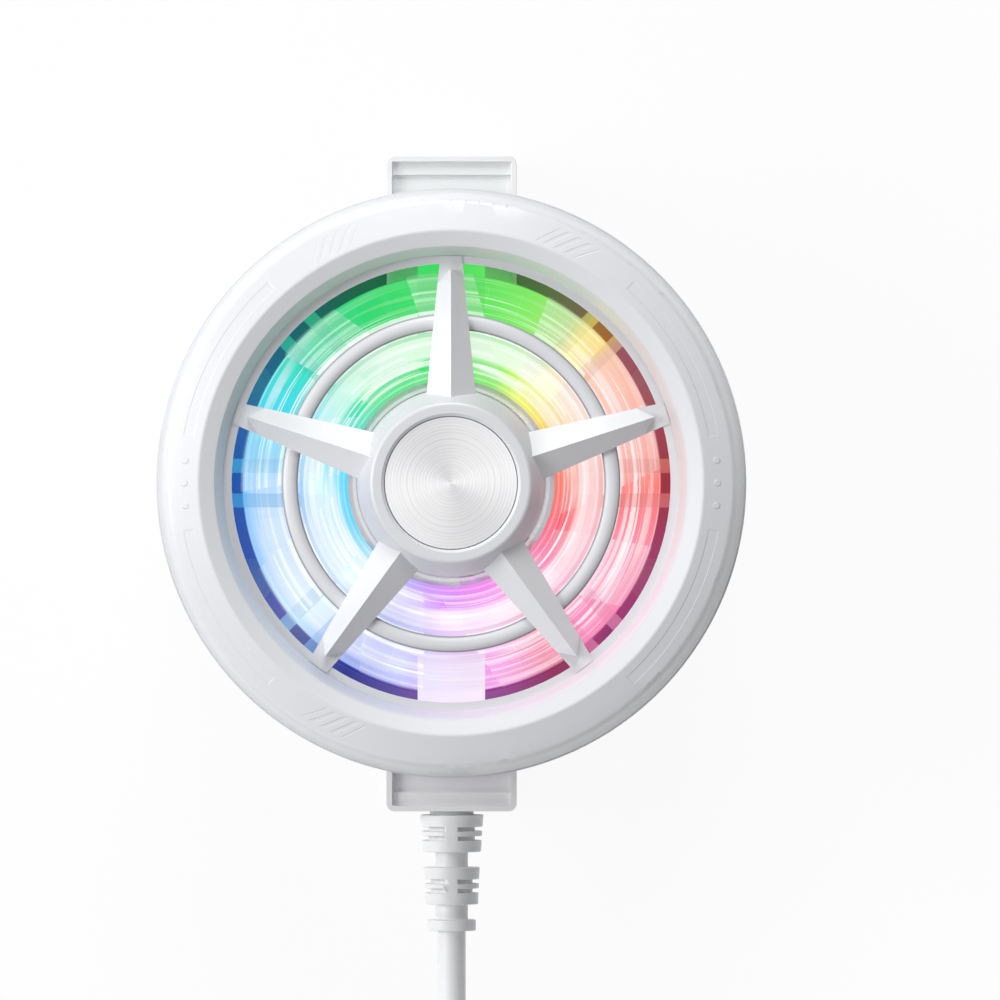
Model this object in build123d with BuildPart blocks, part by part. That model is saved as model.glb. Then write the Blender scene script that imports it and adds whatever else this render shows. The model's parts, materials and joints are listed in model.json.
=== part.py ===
"""Clip-on cooling fan for a phone, in millimetres.

It lies on the lips of its two jaws with the guard facing up. The fan turns about Z, the jaws face
each other along Y, and the cable leaves towards -Y.
"""

import math
import os

from build123d import *

os.makedirs("parts", exist_ok=True)

# Clearances: fit between fixed pieces, running fit, sliding fit, and how far cuts overrun
fit_gap = 0.1
running_gap = 0.04
slide_gap = 0.3
cut_over = 1.0

# Heights of the stack, from the lips up to the hub
lip_thickness = 1.6
grip_depth = 9.4
pad_thickness = 0.6
pad_stand = 0.4
floor_wall = 1.6
flange_thickness = 0.8
module_height = 3.8
sink_base = 1.6
fin_height = 5.2
frame_clearance = 0.2
frame_thickness = 1.6
lamp_board_thickness = 0.8
lamp_height = 0.8
blade_clearance = 0.5
blade_height = 3.3
guard_clearance = 0.4
guard_rim = 0.8

pad_z = lip_thickness + grip_depth
back_z = pad_z + pad_stand
floor_z = back_z + floor_wall
plate_z = pad_z + pad_thickness
module_z = floor_z + flange_thickness
sink_z = module_z + module_height
fin_z = sink_z + sink_base
fin_top_z = fin_z + fin_height
frame_z = fin_top_z + frame_clearance
frame_top_z = frame_z + frame_thickness
lamp_board_z = frame_top_z
lamp_z = lamp_board_z + lamp_board_thickness
blade_z = lamp_z + lamp_height + blade_clearance
blade_top_z = blade_z + blade_height
guard_z = blade_top_z + guard_clearance
lip_z = guard_z + guard_rim

# Case
body_radius = 31.5
back_inset = 0.8
shell_wall = 1.8
back_round = 1.4
cover_inset = 0.3
cover_wall = 1.8
parting_z = 27.4
parting_gap = 0.3
spigot_wall = 0.9
spigot_depth = 1.1
back_radius = body_radius - back_inset
shell_inner = body_radius - shell_wall
cover_radius = body_radius - cover_inset
cover_inner = cover_radius - cover_wall

# Bezel: radius and height above the guard's underside of each ring where its slope changes
opening_radius = 24.24
throat_radius = 25.15
crest_radius = 26.8
brow_radius = 30.1
throat_low = 0.6
throat_rise = 2.8
crest_rise = 3.4
brow_rise = 2.3
shoulder_rise = 0.3
crest_round = 0.5
brow_round = 0.9

# Guard
spoke_count = 5
spoke_top_angle = 90.0
hub_radius = 10.0
hub_shoulder_radius = 8.5
hub_lip_radius = 7.4
badge_radius = 7.0
badge_thickness = 0.6
hub_height = 4.4
hub_skirt = 1.4
badge_recess = 1.0
hub_hollow_radius = 7.6
hub_hollow = 2.2
hub_round = 0.5
spoke_root_width = 5.1
spoke_end_width = 2.3
spoke_edge = 1.0
spoke_edge_end = 0.75
spoke_root_ridge = 3.3
spoke_end_ridge = 2.1
spoke_shoulder_radius = 21.2
spoke_point_radius = 22.7
spoke_point_width = 0.16
foot_height = 0.9
guard_ring_radius = 25.4
mid_ring_inner = 16.3
mid_ring_outer = 18.0

# Fan wheel and its motor
wheel_radius = 22.4
wheel_hub_radius = 12.1
wheel_hub_wall = 1.0
wheel_top = 0.8
wheel_hub_round = 0.6
blade_count = 9
blade_chord = 7.6
blade_thickness = 0.8
blade_root_pitch = 33.0
blade_tip_pitch = 24.0
blade_sweep = 14.0
yoke_wall = 0.8
magnet_wall = 1.1
magnet_height = 3.0
air_gap = 0.4
shaft_radius = 0.75
sleeve_wall = 0.8
tube_wall = 0.8
washer_thickness = 0.4
pole_count = 6
pole_width = 1.8
pole_shoe = 0.8
pole_shoe_angle = 44.0
stator_height = 1.6
coil_wall = 0.5

# Fan frame
frame_hub_radius = 16.2
duct_radius = 24.4
duct_wall = 1.0
broad_bar = 7.2
bar_width = 1.5
bar_offset = 1.85
bar_pair_angles = (0.0, 45.0, 135.0, 180.0, 225.0, 315.0)
frame_boss_radius = 3.2
frame_boss_depth = 1.8
frame_lug_radius = 27.4
frame_lug_angles = (0.0, 90.0, 180.0, 270.0)

# Lamps
lamp_ring_radius = 15.8
lamp_ring_inner = 12.8
lamp_count = 8
lamp_length = 2.4
lamp_width = 1.8

# Heat sink, cooling module, cold plate
sink_radius = 22.5
fin_count = 36
fin_thickness = 0.7
fin_outer_radius = 21.5
fin_long_radius = 8.0
fin_short_radius = 13.0
sink_ear_x = 21.6
sink_ear_y = 10.5
sink_ear_radius = 2.4
module_size = 20.0
module_plate = 0.8
module_inset = 0.6
plate_radius = 16.5
flange_radius = 18.0
pad_radius = 16.0

# Jaws
jaw_width = 14.0
jaw_wall = 2.05
jaw_stand = 3.75
jaw_reach = body_radius + jaw_stand
lip_reach = 6.5
jaw_round = 1.2
lip_round = 0.7
jaw_corner = 0.9
rim_width = 0.6
rim_height = 1.0
step_height = 0.4
jaw_lining = 0.6
lining_margin = 0.8
lining_height = 8.0
slide_height = 3.0
jaw_travel = 14.0
fork_leg = 3.0
fork_clearance = 1.0
fork_length = 19.0
ear_reach = 3.6
ear_length = 3.0
stop_gap = 0.5
neck_height = 6.0
wing_reach = 3.7
wing_length = 3.3
wing_thickness = 1.6
neck_inner = 24.0
runner_x = 5.0
runner_y = 24.0
runner_width = 1.4
runner_length = 9.0
runner_gap = 0.2

# Springs that pull the sliding jaw shut
spring_x = 16.0
spring_radius = 1.3
spring_wall = 0.5
spring_post_y = 22.8
spring_post_radius = 1.2
spring_end_gap = 0.2

# Screws and their bosses
screw_radius = 0.9
screw_head_radius = 1.6
screw_head_height = 0.9
boss_radius = 1.9
case_boss_radius = 27.4
case_boss_angles = (45.0, 135.0, 215.0, 325.0)
case_screw_length = 6.0
sink_screw_length = 4.0
frame_screw_length = 4.0
jaw_screw_length = 2.4
jaw_screw_x = 8.9
jaw_screw_y = 25.6

# Air outlets in the side of the case
outlet_low_z = 18.6
outlet_high_z = 24.4
outlet_width = 2.2
outlet_step = 9.0
outlet_clear_top = 16.0
outlet_clear_cable = 33.0
outlet_clear_boss = 7.0

# Control board and inner wires
board_inner = 22.8
board_outer = 29.0
board_half_angle = 31.0
board_thickness = 1.0
board_gap = 0.6
board_post_x = 12.5
board_post_y = 24.6
board_post_radius = 1.5
wire_radius = 0.4
wire_sides = 6
wire_rise_y = 23.3
module_wire_x = 3.0
fan_wire_x = 0.5
supply_wire_x = 0.9
wire_bend = 1.0
# Parts on the board: angle from its middle, length, width and height
board_layout = (
    (-20.0, 3.2, 2.6, 1.0),
    (-10.5, 4.0, 3.6, 0.9),
    (9.5, 3.0, 3.0, 1.4),
    (17.5, 1.6, 0.9, 0.8),
    (22.0, 1.6, 0.9, 0.8),
    (26.5, 1.6, 0.9, 0.8),
)

# Cable, strain relief and plug: the cable's route is given by where its straight runs begin and end
cord_radius = 1.5
cord_sides = 12
cable_angle = 270.0
lead_drop_y = -66.0
lead_floor_y = -88.0
lead_end_y = -100.5
coil_x = -20.8
tail_start_y = -106.5
tail_turn_y = -113.0
plug_x = -22.4
plug_turn_y = -122.5
plug_y = -129.0
bend_share = 0.45
relief_bore = 2.0
relief_neck_radius = 2.35
relief_neck = 0.45
relief_start_radius = 3.42
relief_mid_radius = 3.15
relief_next_radius = 3.02
relief_last_radius = 2.85
relief_core_radius = 1.75
relief_ring_radius = 2.6
relief_segment = 4.0
relief_core = 1.65
relief_ring = 1.2
relief_slot = 0.45
relief_web = 1.4
relief_anchor = 3.6
relief_slot_shares = (0.38, 0.63)

# Coil of put-away cable: two layers of turns, wound in and out again, and the tie round them
coil_first_radius = 25.0
coil_pitch = 3.45
coil_turns = 4
coil_sides = 6
coil_check_points = 900
tie_wall = 0.5
tie_width = 5.0
tie_gap = 0.15

# Plug on the cable's far end
grip_width = 15.4
grip_height = 8.0
grip_length = 20.0
grip_corner = 1.6
grip_taper = 4.0
grip_neck_width = 6.4
grip_neck_height = 5.4
grip_groove = 0.4
grip_groove_pitch = 2.0
grip_groove_count = 4
socket_width = 12.0
socket_height = 4.5
socket_length = 12.3
socket_wall = 0.35
socket_window = 2.2
socket_window_share = 0.5
tongue_height = 1.9
tongue_short = 1.2
contact_count = 4
contact_width = 1.0
contact_pitch = 2.3
contact_height = 0.15

cord_z = floor_z + neck_height / 2
neck_top_z = floor_z + neck_height + rim_height
slide_z = floor_z + flange_thickness + slide_gap
slide_top_z = slide_z + slide_height


def outline(*corners):
    """Closed face through (x, y) corners; a third number rounds a corner."""
    points = [corner[:2] for corner in corners]
    radii = [corner[2] if len(corner) > 2 else 0 for corner in corners]
    with BuildLine() as edge:
        FilletPolyline(*points, radius=radii, close=True)
    make_face(edge.edges())


def ring(inner, outer):
    """Flat ring in the current sketch."""
    with BuildSketch() as flat:
        Circle(outer)
        Circle(inner, mode=Mode.SUBTRACT)
    add(flat.sketch_local)


def polar(radius, angle):
    """Point on a circle about the fan's axis."""
    return (radius * math.cos(math.radians(angle)), radius * math.sin(math.radians(angle)))


def finish(builder, label):
    """Name a finished piece and write it."""
    builder.part.label = label
    export_step(builder.part, f"parts/{label}.step")


sink_points = [
    (x, y) for x in (-sink_ear_x, sink_ear_x) for y in (-sink_ear_y, sink_ear_y)
]
case_points = [polar(case_boss_radius, angle) for angle in case_boss_angles]
lug_points = [polar(frame_lug_radius, angle) for angle in frame_lug_angles]
jaw_screw_points = [(-jaw_screw_x, -jaw_screw_y), (jaw_screw_x, -jaw_screw_y)]
spring_posts = [(-spring_x, -spring_post_y), (spring_x, -spring_post_y)]
board_posts = [(-board_post_x, -board_post_y), (board_post_x, -board_post_y)]
board_z = neck_top_z + board_gap


def off_by(angle, other):
    """Smallest turn between two directions, in degrees."""
    return abs((angle - other + 180) % 360 - 180)


def outlet_open(angle):
    """Whether an air outlet has room at this angle."""
    return (
        off_by(angle, 90) > outlet_clear_top
        and off_by(angle, cable_angle) > outlet_clear_cable
        and all(off_by(angle, boss) > outlet_clear_boss for boss in case_boss_angles)
    )


outlet_angles = [
    n * outlet_step for n in range(round(360 / outlet_step)) if outlet_open(n * outlet_step)
]

# Back shell: floor with the cold plate's window, posts, outlets and the two jaw slots
with BuildPart() as back_shell:
    with BuildSketch(Plane.XZ):
        outline(
            (0, back_z),
            (back_radius, back_z, back_round),
            (body_radius, parting_z),
            (shell_inner, parting_z),
            (shell_inner, floor_z),
            (0, floor_z),
        )
    revolve(axis=Axis.Z)
    with BuildSketch(Plane.XY.offset(back_z - cut_over)):
        Circle(plate_radius + fit_gap)
    extrude(amount=floor_wall + 2 * cut_over, mode=Mode.SUBTRACT)
    with BuildSketch(Plane.XY.offset(floor_z)):
        with Locations(*sink_points):
            Circle(boss_radius)
    extrude(amount=sink_z - floor_z)
    with BuildSketch(Plane.XY.offset(floor_z)):
        with Locations(*spring_posts):
            Circle(spring_post_radius)
    extrude(amount=slide_top_z - floor_z)
    with BuildSketch(Plane.XY.offset(floor_z)):
        with Locations(*board_posts):
            Circle(board_post_radius)
    extrude(amount=board_z - floor_z)
    with BuildSketch(Plane.XY.offset(floor_z)):
        with Locations((-runner_x, runner_y), (runner_x, runner_y)):
            Rectangle(runner_width, runner_length)
    extrude(amount=slide_z - floor_z - runner_gap)
    with BuildSketch(Plane.XY.offset(sink_z)):
        with Locations(*sink_points):
            Circle(screw_radius)
    extrude(amount=-sink_screw_length, mode=Mode.SUBTRACT)
    with BuildSketch(Plane.XY.offset(back_z)):
        with Locations(*case_points):
            Circle(screw_head_radius + fit_gap)
    extrude(amount=screw_head_height + fit_gap, mode=Mode.SUBTRACT)
    with BuildSketch(Plane.XY.offset(back_z)):
        with Locations(*case_points):
            Circle(screw_radius + fit_gap)
        with Locations(*jaw_screw_points):
            Circle(screw_radius)
    extrude(amount=floor_wall, mode=Mode.SUBTRACT)
    for angle in outlet_angles:
        with PolarLocations(body_radius, 1, start_angle=angle):
            with Locations((0, 0, (outlet_low_z + outlet_high_z) / 2)):
                Box(
                    2 * (shell_wall + cut_over),
                    outlet_width,
                    outlet_high_z - outlet_low_z,
                    mode=Mode.SUBTRACT,
                )
    with Locations((0, shell_inner - cut_over, slide_z - slide_gap)):
        Box(
            jaw_width + 2 * slide_gap,
            shell_wall + 2 * cut_over,
            slide_height + 2 * slide_gap,
            align=(Align.CENTER, Align.MIN, Align.MIN),
            mode=Mode.SUBTRACT,
        )
    with Locations((0, -body_radius - cut_over, floor_z)):
        Box(
            jaw_width + 2 * fit_gap,
            shell_wall + 2 * cut_over,
            neck_top_z - floor_z + fit_gap,
            align=(Align.CENTER, Align.MIN, Align.MIN),
            mode=Mode.SUBTRACT,
        )
finish(back_shell, "back_shell")

# Heights of the bezel's crest and brow
crest_z = guard_z + crest_rise
brow_z = guard_z + brow_rise


# Front cover: bezel, skirt with its spigot, and the pillars that the screws enter
with BuildPart() as front_cover:
    with BuildSketch(Plane.XZ):
        outline(
            (opening_radius, lip_z),
            (opening_radius, lip_z + throat_low),
            (throat_radius, guard_z + throat_rise),
            (crest_radius, crest_z, crest_round),
            (brow_radius, brow_z, brow_round),
            (cover_radius, guard_z + shoulder_rise),
            (cover_radius, parting_z + parting_gap),
            (shell_inner - fit_gap, parting_z + parting_gap),
            (shell_inner - fit_gap, parting_z - spigot_depth),
            (shell_inner - fit_gap - spigot_wall, parting_z - spigot_depth),
            (shell_inner - fit_gap - spigot_wall, parting_z + spigot_depth),
            (cover_inner, parting_z + spigot_depth + cover_inset),
            (cover_inner, guard_z - guard_clearance),
            (crest_radius, lip_z + throat_low + guard_clearance),
            (guard_ring_radius + fit_gap, lip_z),
        )
    revolve(axis=Axis.Z)
    with BuildSketch(Plane.XY.offset(floor_z)):
        with Locations(*case_points):
            Circle(boss_radius)
    extrude(amount=lip_z + throat_low - floor_z)
    with BuildSketch(Plane.XY.offset(frame_top_z)):
        with Locations(*lug_points):
            Circle(boss_radius)
    extrude(amount=lip_z + throat_low - frame_top_z)
    with BuildSketch(Plane.XY.offset(floor_z)):
        with Locations(*case_points):
            Circle(screw_radius)
    extrude(amount=case_screw_length, mode=Mode.SUBTRACT)
    with BuildSketch(Plane.XY.offset(frame_top_z)):
        with Locations(*lug_points):
            Circle(screw_radius)
    extrude(amount=frame_screw_length, mode=Mode.SUBTRACT)
finish(front_cover, "front_cover")

# One spoke of the guard, along +X: a low strip, and on it a ridged roof that ends in a point
spoke_low = guard_z + foot_height
spoke_ridge_slope = (spoke_end_ridge - spoke_root_ridge) / (spoke_point_radius - hub_shoulder_radius)


def spoke_width(radius):
    """Width of a spoke, which narrows steadily from the hub to the bezel."""
    share = (radius - hub_radius) / (opening_radius - hub_radius)
    return spoke_root_width + share * (spoke_end_width - spoke_root_width)


def spoke_section(radius, width, edge):
    """Gabled section of a spoke at a radius."""
    ridge = spoke_root_ridge + spoke_ridge_slope * (radius - hub_shoulder_radius)
    with BuildSketch(Plane.YZ.offset(radius)) as section:
        outline(
            (-width / 2, spoke_low),
            (width / 2, spoke_low),
            (width / 2, guard_z + edge),
            (0, guard_z + ridge),
            (-width / 2, guard_z + edge),
        )
    return section.sketch


with BuildPart() as spoke:
    shoulder = spoke_section(spoke_shoulder_radius, spoke_width(spoke_shoulder_radius), spoke_edge)
    root = spoke_section(hub_lip_radius, spoke_width(hub_lip_radius), spoke_edge + foot_height)
    loft([root, shoulder], ruled=True)
    point = spoke_section(spoke_point_radius, spoke_point_width, spoke_edge + spoke_edge_end)
    loft([shoulder, point], ruled=True)
    with BuildSketch(Plane.XY.offset(guard_z)):
        outline(
            (hub_lip_radius, -spoke_width(hub_lip_radius) / 2),
            (opening_radius - fit_gap, -spoke_end_width / 2),
            (opening_radius - fit_gap, spoke_end_width / 2),
            (hub_lip_radius, spoke_width(hub_lip_radius) / 2),
        )
    extrude(amount=foot_height)

# Star guard: five spokes between a hollow hub and a ring clamped under the bezel
with BuildPart() as star_grille:
    with BuildSketch(Plane.XZ):
        outline(
            (0, guard_z + hub_hollow),
            (hub_hollow_radius, guard_z + hub_hollow),
            (hub_hollow_radius, guard_z),
            (hub_radius, guard_z),
            (hub_radius, guard_z + hub_skirt),
            (hub_shoulder_radius, guard_z + hub_height, hub_round),
            (hub_lip_radius, guard_z + hub_height),
            (badge_radius + fit_gap, guard_z + hub_height - hub_lip_radius + badge_radius + fit_gap),
            (badge_radius + fit_gap, guard_z + hub_height - badge_recess),
            (0, guard_z + hub_height - badge_recess),
        )
    revolve(axis=Axis.Z)
    with PolarLocations(0, spoke_count, start_angle=spoke_top_angle):
        add(spoke.part)
    with BuildSketch(Plane.XZ):
        outline(
            (0, guard_z + hub_hollow),
            (0, guard_z),
            (hub_hollow_radius, guard_z),
            (hub_hollow_radius, guard_z + hub_hollow),
        )
    revolve(axis=Axis.Z, mode=Mode.SUBTRACT)
    with BuildSketch(Plane.XY.offset(guard_z)):
        ring(mid_ring_inner, mid_ring_outer)
        ring(opening_radius - foot_height, guard_ring_radius)
    extrude(amount=guard_rim)
finish(star_grille, "star_grille")

with BuildPart() as hub_disc:
    with BuildSketch(Plane.XY.offset(guard_z + hub_height - badge_recess)):
        Circle(badge_radius)
    extrude(amount=badge_thickness)
finish(hub_disc, "hub_disc")

# Motor sizes from the wheel's hub inwards
skirt_inner = wheel_hub_radius - wheel_hub_wall
yoke_inner = skirt_inner - fit_gap - yoke_wall
magnet_inner = yoke_inner - magnet_wall
pole_reach = magnet_inner - air_gap
sleeve_inner = shaft_radius + running_gap
sleeve_outer = sleeve_inner + sleeve_wall
tube_outer = sleeve_outer + tube_wall
skirt_low_z = lamp_z
hub_top_z = blade_top_z
hub_under_z = hub_top_z - wheel_top
yoke_under_z = hub_under_z - yoke_wall
stator_z = lamp_z + coil_wall + fit_gap
tube_top_z = yoke_under_z - air_gap
sleeve_low_z = frame_z - frame_boss_depth + tube_wall + washer_thickness


def blade_section(radius, pitch, turn):
    """Flat section of a blade, standing across the radius that is turned by an angle."""
    x, y = polar(radius, turn)
    across = Plane(
        origin=(x, y, blade_z + blade_height / 2),
        x_dir=(-y, x, 0),
        z_dir=(x, y, 0),
    )
    with BuildSketch(across) as section:
        Rectangle(blade_chord, blade_thickness, rotation=pitch)
    return section.sketch


# Fan wheel: cup-shaped hub and swept blades trimmed to a flat top, a flat bottom and a round tip
with BuildPart() as blade:
    loft(
        [
            blade_section(wheel_hub_radius - wheel_hub_wall / 2, blade_root_pitch, 0),
            blade_section(wheel_radius + cut_over, blade_tip_pitch, blade_sweep),
        ],
        ruled=True,
    )
    with BuildSketch(Plane.XY.offset(blade_z)):
        ring(wheel_hub_radius - wheel_hub_wall / 2, wheel_radius)
    extrude(amount=blade_height, mode=Mode.INTERSECT)

with BuildPart() as impeller:
    with BuildSketch(Plane.XZ):
        outline(
            (shaft_radius, hub_under_z),
            (shaft_radius, hub_top_z),
            (wheel_hub_radius, hub_top_z, wheel_hub_round),
            (wheel_hub_radius, skirt_low_z),
            (skirt_inner, skirt_low_z),
            (skirt_inner, hub_under_z),
        )
    revolve(axis=Axis.Z)
    with PolarLocations(0, blade_count):
        add(blade.part)
finish(impeller, "impeller")

with BuildPart() as rotor_yoke:
    with BuildSketch(Plane.XZ):
        outline(
            (shaft_radius, yoke_under_z),
            (shaft_radius, hub_under_z),
            (yoke_inner + yoke_wall, hub_under_z),
            (yoke_inner + yoke_wall, skirt_low_z),
            (yoke_inner, skirt_low_z),
            (yoke_inner, yoke_under_z),
        )
    revolve(axis=Axis.Z)
finish(rotor_yoke, "rotor_yoke")

with BuildPart() as rotor_magnet:
    with BuildSketch(Plane.XY.offset(skirt_low_z)):
        ring(magnet_inner, yoke_inner)
    extrude(amount=magnet_height)
finish(rotor_magnet, "rotor_magnet")

shaft_low_z = sleeve_low_z
with BuildPart() as rotor_shaft:
    with BuildSketch(Plane.XY.offset(shaft_low_z)):
        Circle(shaft_radius)
    extrude(amount=hub_top_z - shaft_low_z)
finish(rotor_shaft, "rotor_shaft")

# Bearing tube parts: brass sleeve and the washer that the shaft's end turns on
with BuildPart() as bearing_sleeve:
    with BuildSketch(Plane.XY.offset(sleeve_low_z)):
        ring(sleeve_inner, sleeve_outer)
    extrude(amount=tube_top_z - sleeve_low_z)
finish(bearing_sleeve, "bearing_sleeve")

with BuildPart() as thrust_washer:
    with BuildSketch(Plane.XY.offset(sleeve_low_z - washer_thickness)):
        Circle(sleeve_outer)
    extrude(amount=washer_thickness)
finish(thrust_washer, "thrust_washer")

# Stator: poles with curved shoes round the bearing tube, and a winding on each pole
with BuildPart() as stator_core:
    with BuildSketch(Plane.XY.offset(stator_z)):
        Circle(tube_outer + pole_width)
        with PolarLocations((tube_outer + pole_reach) / 2, pole_count):
            Rectangle(pole_reach - tube_outer - pole_shoe, pole_width)
        for n in range(pole_count):
            middle = n * 360 / pole_count
            shoe = CenterArc(
                (0, 0),
                pole_reach - pole_shoe / 2,
                middle - pole_shoe_angle / 2,
                pole_shoe_angle,
                mode=Mode.PRIVATE,
            )
            SlotArc(shoe, pole_shoe)
        Circle(tube_outer, mode=Mode.SUBTRACT)
    extrude(amount=stator_height)
finish(stator_core, "stator_core")

coil_in = tube_outer + pole_width + fit_gap
coil_half = pole_width / 2 + coil_wall
coil_out = math.sqrt((pole_reach - pole_shoe) ** 2 - coil_half**2) - fit_gap
coil_gap_high = fit_gap / 2
with BuildPart() as stator_coils:
    with PolarLocations((coil_in + coil_out) / 2, pole_count):
        with Locations((0, 0, stator_z + stator_height / 2)):
            Box(coil_out - coil_in, 2 * coil_half, stator_height + 2 * coil_wall)
            Box(
                coil_out - coil_in,
                pole_width + coil_gap_high,
                stator_height + coil_gap_high,
                mode=Mode.SUBTRACT,
            )
finish(stator_coils, "stator_coils")

# Lamp board on the frame's hub, with its lamps
with BuildPart() as lamp_board:
    with BuildSketch(Plane.XY.offset(lamp_board_z)):
        ring(tube_outer + fit_gap, lamp_ring_radius)
    extrude(amount=lamp_board_thickness)
finish(lamp_board, "lamp_board")

with BuildPart() as lamps:
    with PolarLocations((lamp_ring_inner + lamp_ring_radius) / 2, lamp_count):
        with Locations((0, 0, lamp_z + lamp_height / 2)):
            Box(lamp_width, lamp_length, lamp_height)
finish(lamps, "lamps")

# Fan frame: hub with the bearing tube, broad bars up and down, paired bars between, duct, lugs
with BuildPart() as fan_frame:
    with BuildSketch(Plane.XY.offset(frame_z)):
        Circle(frame_hub_radius)
        ring(duct_radius, duct_radius + duct_wall)
        with PolarLocations((duct_radius + frame_hub_radius) / 2, 2, start_angle=90):
            Rectangle(duct_radius - frame_hub_radius + duct_wall, broad_bar)
        for angle in bar_pair_angles:
            with PolarLocations(0, 1, start_angle=angle):
                with Locations(
                    ((duct_radius + frame_hub_radius) / 2, bar_offset),
                    ((duct_radius + frame_hub_radius) / 2, -bar_offset),
                ):
                    Rectangle(duct_radius - frame_hub_radius + duct_wall, bar_width)
        with PolarLocations((duct_radius + frame_lug_radius) / 2, len(lug_points)):
            Rectangle(frame_lug_radius - duct_radius, 2 * boss_radius)
        with Locations(*lug_points):
            Circle(boss_radius)
        with Locations(*lug_points):
            Circle(screw_radius + fit_gap, mode=Mode.SUBTRACT)
    extrude(amount=frame_thickness)
    with BuildSketch(Plane.XY.offset(frame_z)):
        ring(duct_radius, duct_radius + duct_wall)
    extrude(amount=guard_z - frame_z)
    with BuildSketch(Plane.XY.offset(frame_z - frame_boss_depth)):
        Circle(frame_boss_radius)
    extrude(amount=frame_boss_depth)
    with BuildSketch(Plane.XY.offset(frame_z)):
        Circle(tube_outer)
    extrude(amount=tube_top_z - frame_z)
    with BuildSketch(Plane.XY.offset(sleeve_low_z - washer_thickness)):
        Circle(sleeve_outer)
    extrude(amount=hub_top_z - sleeve_low_z, mode=Mode.SUBTRACT)
finish(fan_frame, "fan_frame")

# Heat sink: round base with long and short radial fins, and four ears for its screws
with BuildPart() as heat_sink:
    with BuildSketch(Plane.XY.offset(sink_z)):
        Circle(sink_radius)
        with Locations(*sink_points):
            Circle(sink_ear_radius)
        with Locations(*sink_points):
            Circle(screw_radius + fit_gap, mode=Mode.SUBTRACT)
    extrude(amount=sink_base)
    with BuildSketch(Plane.XY.offset(fin_z)):
        for n in range(fin_count):
            angle = cable_angle + n * 360 / fin_count
            start = fin_short_radius if n % 2 else fin_long_radius
            if n:
                with PolarLocations((start + fin_outer_radius) / 2, 1, start_angle=angle):
                    Rectangle(fin_outer_radius - start, fin_thickness)
        with Locations(*sink_points):
            Circle(screw_head_radius + 2 * fit_gap, mode=Mode.SUBTRACT)
    extrude(amount=fin_height)
finish(heat_sink, "heat_sink")

with BuildPart() as cooling_module:
    with BuildSketch(Plane.XY.offset(module_z)):
        Rectangle(module_size, module_size)
    extrude(amount=module_height)
    with BuildSketch(Plane.XY.offset(module_z + module_plate)):
        Rectangle(module_size + cut_over, module_size + cut_over)
        Rectangle(module_size - 2 * module_inset, module_size - 2 * module_inset, mode=Mode.SUBTRACT)
    extrude(amount=module_height - 2 * module_plate, mode=Mode.SUBTRACT)
finish(cooling_module, "cooling_module")

with BuildPart() as cold_plate:
    with BuildSketch(Plane.XZ):
        outline(
            (0, plate_z),
            (plate_radius, plate_z),
            (plate_radius, floor_z),
            (flange_radius, floor_z),
            (flange_radius, module_z),
            (0, module_z),
        )
    revolve(axis=Axis.Z)
finish(cold_plate, "cold_plate")

with BuildPart() as cold_pad:
    with BuildSketch(Plane.XY.offset(pad_z)):
        Circle(pad_radius)
    extrude(amount=pad_thickness)
finish(cold_pad, "cold_pad")

# Jaws. Both have a wall beside the phone, a lip under it and a neck with raised side rims.
wall_y = jaw_reach - jaw_wall
lip_y = jaw_reach - lip_reach


def jaw_body(neck_y, low, top):
    """Jaw at +Y whose neck runs in to neck_y between two heights, its rims rising to the top."""
    with BuildPart() as body:
        with BuildSketch(Plane.YZ.offset(-jaw_width / 2)):
            outline(
                (lip_y, 0, lip_round),
                (jaw_reach, 0, jaw_round),
                (jaw_reach, top),
                (neck_y, top),
                (neck_y, low),
                (wall_y, low),
                (wall_y, lip_thickness),
                (lip_y, lip_thickness, lip_round),
            )
        extrude(amount=jaw_width)
        with BuildSketch():
            outline(
                (-jaw_width / 2, 0),
                (jaw_width / 2, 0),
                (jaw_width / 2, jaw_reach, jaw_corner),
                (-jaw_width / 2, jaw_reach, jaw_corner),
            )
        extrude(amount=top, mode=Mode.INTERSECT)
        with BuildSketch(Plane.XY.offset(top)):
            with Locations((0, (neck_y + wall_y) / 2)):
                Rectangle(jaw_width - 2 * rim_width, wall_y - neck_y)
        extrude(amount=-rim_height, mode=Mode.SUBTRACT)
        with BuildSketch(Plane.XY.offset(top)):
            with Locations((0, (jaw_reach - rim_width + wall_y) / 2)):
                Rectangle(jaw_width - 2 * rim_width, jaw_wall - rim_width)
        extrude(amount=step_height - rim_height, mode=Mode.SUBTRACT)
    return body.part


def jaw_pad():
    """Soft lining of a jaw at +Y, along the wall and over the lip."""
    with BuildPart() as lining:
        with BuildSketch(Plane.YZ.offset(-jaw_width / 2 + lining_margin)):
            outline(
                (lip_y + lining_margin, lip_thickness),
                (wall_y, lip_thickness),
                (wall_y, lip_thickness + lining_height),
                (wall_y - jaw_lining, lip_thickness + lining_height),
                (wall_y - jaw_lining, lip_thickness + jaw_lining),
                (lip_y + lining_margin, lip_thickness + jaw_lining),
            )
        extrude(amount=jaw_width - 2 * lining_margin)
    return lining.part


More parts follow.
